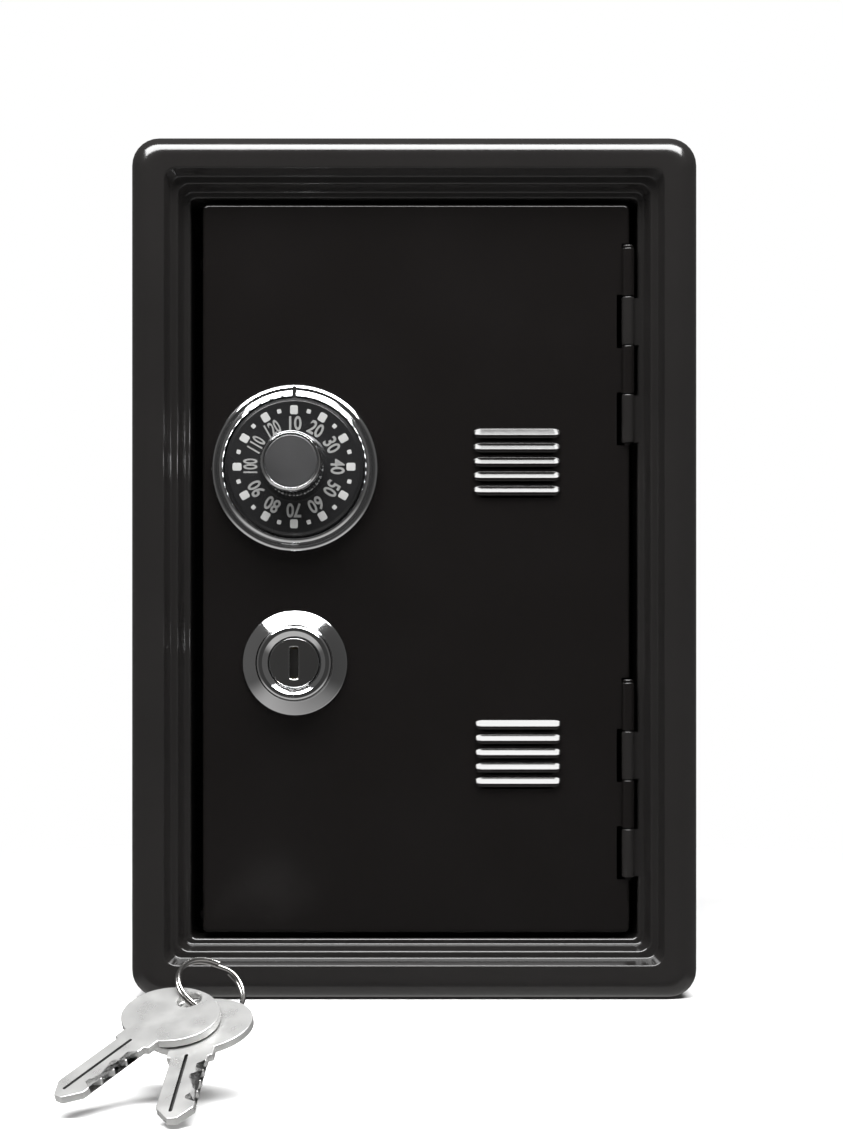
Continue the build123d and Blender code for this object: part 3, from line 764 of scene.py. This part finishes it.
knob_profile = rounded_profile(
    [
        (2.5, 4.2),
        (6.3, 4.2),
        (6.3, 5.0),
        (6.15, 5.3),
        (6.15, 13.2),
        (6.3, 13.5),
        (6.3, 15.0),
        (5.8, 15.6),
        (5.6, 15.6),
        (5.6, 14.8),
        (2.5, 14.8),
    ],
    [0.0, 0.1, 0.1, 0.1, 0.1, 0.1, 0.25, 0.08, 0.05, 0.0, 0.0],
)


def knurl(angle, radius, rise):
    """Fine flutes round the knob's grip."""
    if 5.25 < rise < 13.25 and radius > 6.0:
        return radius - 0.14 * (0.5 + 0.5 * math.cos(48 * angle))
    return radius


piece(
    "dial_knob_body",
    revolve(knob_profile, dial_centre, segments=288, flute=knurl),
    chrome,
    "dial",
    ["dial_knob"],
)
cap_profile = rounded_profile(
    [(0.0, 14.85), (5.55, 14.85), (5.55, 15.3), (5.2, 15.42), (0.0, 15.38)],
    [0.0, 0.05, 0.12, 0.2, 0.0],
)
cap = revolve(cap_profile, dial_centre, segments=96)
piece("dial_cap", cap, cap_metal, "dial", ["dial_knob_cap"])

# ---------------------------------------------------------------- lock

lock_centre = (lock_at.x, face_y, lock_at.z)
thread = []
for k in range(9):
    thread += [(7.35, -1.2 - 0.75 * k), (7.6, -1.55 - 0.75 * k)]
barrel_profile = rounded_profile(
    [
        (5.5, -7.9),
        (5.5, 4.75),
        (6.7, 5.75),
        (8.15, 5.75),
        (8.15, 2.5),
        (11.2, 0.95),
        (11.2, 0.0),
        (7.6, 0.0),
        (7.6, -1.0),
        *thread,
        (7.35, -7.9),
    ],
    [0.0, 0.15, 0.3, 1.25, 0.3, 0.35, 0.1, 0.0, 0.0, *[0.0] * len(thread), 0.0],
)
barrel = revolve(barrel_profile, lock_centre, segments=128)
for side in (-1, 1):
    near, far = sorted((lock_at.x + side * 6.6, lock_at.x + side * 9.0))
    flat = block(near, far, -43.7, -36.0, lock_at.z - 9, lock_at.z + 9)
    barrel = boolean(barrel, flat, "DIFFERENCE")
stop_low, stop_high = -36.6, -35.8
stop_window = 15.4
stop_ring = []
for k in range(41):
    angle = math.radians(90 + stop_window + (270 - 2 * stop_window) * k / 40)
    ring_section = []
    for radius, y in ((5.75, stop_low - 0.1), (6.6, stop_low - 0.1), (6.6, stop_high), (5.75, stop_high)):
        ring_section.append((lock_at.x + radius * math.cos(angle), y, lock_at.z + radius * math.sin(angle)))
    stop_ring.append(ring_section)
barrel = boolean(barrel, loft(stop_ring), "UNION")
piece("lock_barrel", barrel, chrome, "door", ["lock_housing"])

keyway_half_width, keyway_half_height = 0.85, 3.3


def keyway_ring(spread, y):
    half_width, half_height = keyway_half_width + spread, keyway_half_height + spread
    return rounded_ring(
        lock_at.x - half_width,
        lock_at.x + half_width,
        lock_at.z - half_height,
        lock_at.z + half_height,
        0.35 + spread,
        y,
    )


plug_front = face_y - 4.7
plug_profile = rounded_profile(
    [(0.0, -8.2), (5.4, -8.2), (5.4, 4.7), (0.0, 4.7)],
    [0.0, 0.0, 0.5, 0.0],
)
plug = revolve(plug_profile, lock_centre, segments=96)
mouth = [keyway_ring(0.5, plug_front - 0.3)]
for angle in (0, 25, 50, 70, 90):
    spread = 0.45 * (1 - math.sin(math.radians(angle)))
    mouth.append(keyway_ring(spread, plug_front + 0.45 * (1 - math.cos(math.radians(angle)))))
mouth.append(keyway_ring(0.0, -35.0))
plug = boolean(plug, loft(mouth), "DIFFERENCE")
piece("lock_plug_face", plug, plug_metal, "lock_core", ["lock_plug"])
square = 2.3
tail = block(lock_at.x - square, lock_at.x + square, -36.45, -34.05, lock_at.z - square, lock_at.z + square)
piece("lock_tail", tail, zinc, "lock_core")

# ---------------------------------------------------------------- keys

hang_point = Vector((-36.1, -138.5, 13.65))
front_fall = Vector((-18.5, -20.5, -11.8)).normalized()
rear_fall = Vector((-2.0, -27.3, -12.2)).normalized()
key_normal = front_fall.cross(rear_fall).normalized()
upslope = (Vector((0, 0, 1)) - key_normal * key_normal.z).normalized()
slope_across = upslope.cross(key_normal)
ring_twist = math.radians(-36.0)
ring_tangent = slope_across * math.cos(ring_twist) + key_normal * math.sin(ring_twist)
ring_normal = upslope.cross(ring_tangent)
ring_radius = 5.85
ring_centre = hang_point + upslope * ring_radius

key_outline = []
key_radii = []
bow_start = 25.0
for k in range(61):
    angle = math.radians(bow_start + (360 - 2 * bow_start) * k / 60)
    key_outline.append((4.45 + 7.3 * math.cos(angle), 8.9 * math.sin(angle)))
    key_radii.append(0.0)
blade_half = 3.0
key_outline += [(13.3, -3.8), (13.5, -blade_half), (26.3, -blade_half)]
key_outline += [(29.2, -0.8), (29.2, 0.8), (26.6, blade_half)]
key_radii += [0.35, 0.2, 0.8, 0.5, 0.5, 0.5]
for place, depth in ((24.0, 1.6), (21.3, 0.9), (18.6, 1.9), (15.9, 1.3)):
    for along, level in ((1.2, 0.0), (0.35, depth), (-0.35, depth), (-1.2, 0.0)):
        key_outline.append((place + along, blade_half - level))
    key_radii += [0.12, 0.12, 0.12, 0.12]
key_outline += [(13.5, blade_half), (13.3, 3.8)]
key_radii += [0.2, 0.35]
key_half = 0.65


key_hole_section = ((-0.9, 2.45), (-0.65, 2.25), (-0.45, 2.05), (0.45, 2.05), (0.65, 2.25), (0.9, 2.45))


def key_mesh(hole, fall):
    """One key, with its bow's hole at a point and its blade along fall."""
    across = key_normal.cross(fall)
    place = Matrix.Translation(hole) @ Matrix((fall, across, key_normal)).transposed().to_4x4()
    key = slab(rounded_profile(key_outline, key_radii), key_half, 0.16, place)
    bore = []
    for rise, radius in key_hole_section:
        ring = []
        for k in range(40):
            angle = 2 * math.pi * k / 40
            ring.append(place @ Vector((radius * math.cos(angle), radius * math.sin(angle), rise)))
        bore.append(ring)
    key = boolean(key, loft(bore), "DIFFERENCE")
    for side in (-1, 1):
        groove = []
        for level, spread in ((0.3, 0.12), (0.62, 0.3), (1.0, 0.34)):
            ring = []
            for point in stadium(7.4, spread, 0.0, steps=5):
                ring.append(place @ Vector((20.1 + point[0], -0.5 + point[1], side * level)))
            groove.append(ring)
        key = boolean(key, loft(groove), "DIFFERENCE")
    # Faces inside the groove take the second slot, whose near-black colour is painted shade
    for face in key.faces:
        local = place.inverted() @ face.calc_center_median()
        in_groove = 12.5 < local.x < 27.9 and abs(local.y + 0.5) < 0.36
        if in_groove and abs(local.z) < key_half - 0.02:
            face.material_index = 1
    return key


layer_shift = 0.8 / math.sin(ring_twist)
for name, fall, sign in (("front_key", front_fall, 1), ("rear_key", rear_fall, -1)):
    hole = hang_point + ring_tangent * layer_shift * sign
    made = piece(f"{name}_cut", key_mesh(hole, fall), nickel, name, [name])
    # The second slot holds the groove's painted shade
    made.data.materials.append(groove_painted_shade)

wire_radius = 0.36
coil_rings = []
turns = 2
steps = 96
gap = 0.2
for k in range(turns * steps + 1):
    t = gap + (2 * math.pi * turns - 2 * gap) * k / (turns * steps)
    lift = max(-1.0, min(1.0, (t - 2 * math.pi) / 0.35))
    lift = math.sin(lift * math.pi / 2)
    # The two ends of the coil lie at the top, away from the keys
    out = -upslope * math.cos(t + math.pi) + ring_tangent * math.sin(t + math.pi)
    middle = ring_centre + out * ring_radius + ring_normal * (0.37 * lift)
    ring = []
    for j in range(14):
        a = 2 * math.pi * j / 14
        spread, lean = wire_radius * math.cos(a), wire_radius * math.sin(a)
        ring.append(middle + out * spread + ring_normal * lean)
    coil_rings.append(ring)
piece("split_ring", loft(coil_rings), ring_steel, "key_ring", ["key_ring"])

# ---------------------------------------------------------------- carried-over CAD nodes

finishes = {
    "upper_hinge_pin": shaded_door_enamel,
    "lower_hinge_pin": shaded_door_enamel,
    "dial_bush": brass,
    "dial_bush_nut": brass,
    "dial_spindle": zinc,
    "dial_spring_washer": zinc,
    "gate_wheel": zinc,
    "gate_wheel_screw": zinc,
    "lock_nut": zinc,
    "lock_wafer_springs": zinc,
    "lock_stop_washer": zinc,
    "lock_cam": zinc,
    "lock_cam_screw": zinc,
}
for number in range(1, 5):
    finishes[f"lock_wafer_{number}"] = wafer_brass_painted_shade
for name, finish in finishes.items():
    node = frame["nodes"][name]
    if not node.data.materials:
        node.data.materials.append(finish)
    for entry in node.material_slots:
        entry.material = finish

# ---------------------------------------------------------------- stage, light and camera

floor_mesh = bpy.data.meshes.new("floor")
bm = bmesh.new()
bmesh.ops.create_circle(bm, cap_ends=True, segments=96, radius=3.0)
bm.to_mesh(floor_mesh)
bm.free()
floor = bpy.data.objects.new("floor", floor_mesh)
floor.location.z = -0.0002
floor.visible_glossy = False
bpy.context.scene.collection.objects.link(floor)
floor_paint = material(
    "floor_paint", (0.9, 0.9, 0.9), (0.92, 0.92, 0.92), (0.7, 0.8),
    grain=40.0, relief=0.0,
)
floor_mesh.materials.append(floor_paint)
# Away from the object the floor glows as white as the backdrop, so that no horizon shows
tree = floor_paint.node_tree
spot = tree.nodes.new("ShaderNodeTexCoord")
reach = tree.nodes.new("ShaderNodeVectorMath")
reach.operation = "LENGTH"
tree.links.new(spot.outputs["Object"], reach.inputs[0])
fade = tree.nodes.new("ShaderNodeMapRange")
fade.interpolation_type = "SMOOTHSTEP"
fade.inputs["From Min"].default_value = 0.1
fade.inputs["From Max"].default_value = 0.35
tree.links.new(reach.outputs["Value"], fade.inputs["Value"])
glow = node_of(tree, "ShaderNodeEmission", Color=rgba((1.0, 1.0, 1.0)), Strength=1.0)
join = tree.nodes.new("ShaderNodeMixShader")
tree.links.new(fade.outputs["Result"], join.inputs["Fac"])
tree.links.new(tree.nodes["Principled BSDF"].outputs["BSDF"], join.inputs[1])
tree.links.new(glow.outputs["Emission"], join.inputs[2])
tree.links.new(join.outputs["Shader"], tree.nodes["Material Output"].inputs["Surface"])

world = bpy.data.worlds.new("studio")
bpy.context.scene.world = world
world.use_nodes = True
sky = world.node_tree
backdrop = sky.nodes["Background"]
backdrop.inputs["Color"].default_value = rgba((1.0, 1.0, 1.0))
backdrop.inputs["Strength"].default_value = 1.0
room = sky.nodes.new("ShaderNodeBackground")
room.inputs["Color"].default_value = rgba((1.0, 0.985, 0.97))
way = sky.nodes.new("ShaderNodeTexCoord")
split = sky.nodes.new("ShaderNodeSeparateXYZ")
sky.links.new(way.outputs["Generated"], split.inputs["Vector"])
behind = sky.nodes.new("ShaderNodeMapRange")
behind.interpolation_type = "SMOOTHSTEP"
behind.inputs["From Min"].default_value = -0.68
behind.inputs["From Max"].default_value = -0.48
sky.links.new(split.outputs["Y"], behind.inputs["Value"])
below = sky.nodes.new("ShaderNodeMapRange")
below.interpolation_type = "SMOOTHSTEP"
below.inputs["From Min"].default_value = -0.3
below.inputs["From Max"].default_value = -0.7
sky.links.new(split.outputs["Z"], below.inputs["Value"])
# Dark in front, grey behind, and bright where a white table would show behind and below
table = sky.nodes.new("ShaderNodeMath")
table.operation = "MULTIPLY_ADD"
table.inputs[1].default_value = 0.45
table.inputs[2].default_value = 0.06
sky.links.new(below.outputs["Result"], table.inputs[0])
level = sky.nodes.new("ShaderNodeMath")
level.operation = "MULTIPLY_ADD"
level.inputs[2].default_value = 0.05
sky.links.new(table.outputs["Value"], level.inputs[0])
sky.links.new(behind.outputs["Result"], level.inputs[1])
sky.links.new(level.outputs["Value"], room.inputs["Strength"])
rays = sky.nodes.new("ShaderNodeLightPath")
choose = sky.nodes.new("ShaderNodeMixShader")
sky.links.new(rays.outputs["Is Camera Ray"], choose.inputs["Fac"])
sky.links.new(room.outputs["Background"], choose.inputs[1])
sky.links.new(backdrop.outputs["Background"], choose.inputs[2])
sky.links.new(choose.outputs["Shader"], sky.nodes["World Output"].inputs["Surface"])


def softbox(name, centre, target, size, power):
    """Rectangular area light that faces a point."""
    light = bpy.data.lights.new(name, "AREA")
    light.shape = "RECTANGLE"
    light.size, light.size_y = size
    light.energy = power
    holder = bpy.data.objects.new(name, light)
    holder.location = centre
    direction = Vector(target) - Vector(centre)
    holder.rotation_euler = direction.to_track_quat("-Z", "Y").to_euler()
    bpy.context.scene.collection.objects.link(holder)
    return holder


softbox("overhead_box", (-0.02, -0.3, 0.6), (-0.02, -0.11, 0.08), (0.85, 0.28), 16.0)

camera = bpy.data.cameras.new("camera")
camera.sensor_fit = "VERTICAL"
camera.sensor_height = 36.0
camera.lens = 60.27
camera.shift_x = 0.0147
camera.shift_y = 0.1007
camera.clip_start = 0.01
camera_holder = bpy.data.objects.new("camera", camera)
camera_holder.location = (-0.002, -0.45, 0.067)
camera_holder.rotation_euler = (math.radians(90), 0.0, 0.0)
bpy.context.scene.collection.objects.link(camera_holder)
bpy.context.scene.camera = camera_holder
bpy.context.scene.view_settings.view_transform = "Standard"
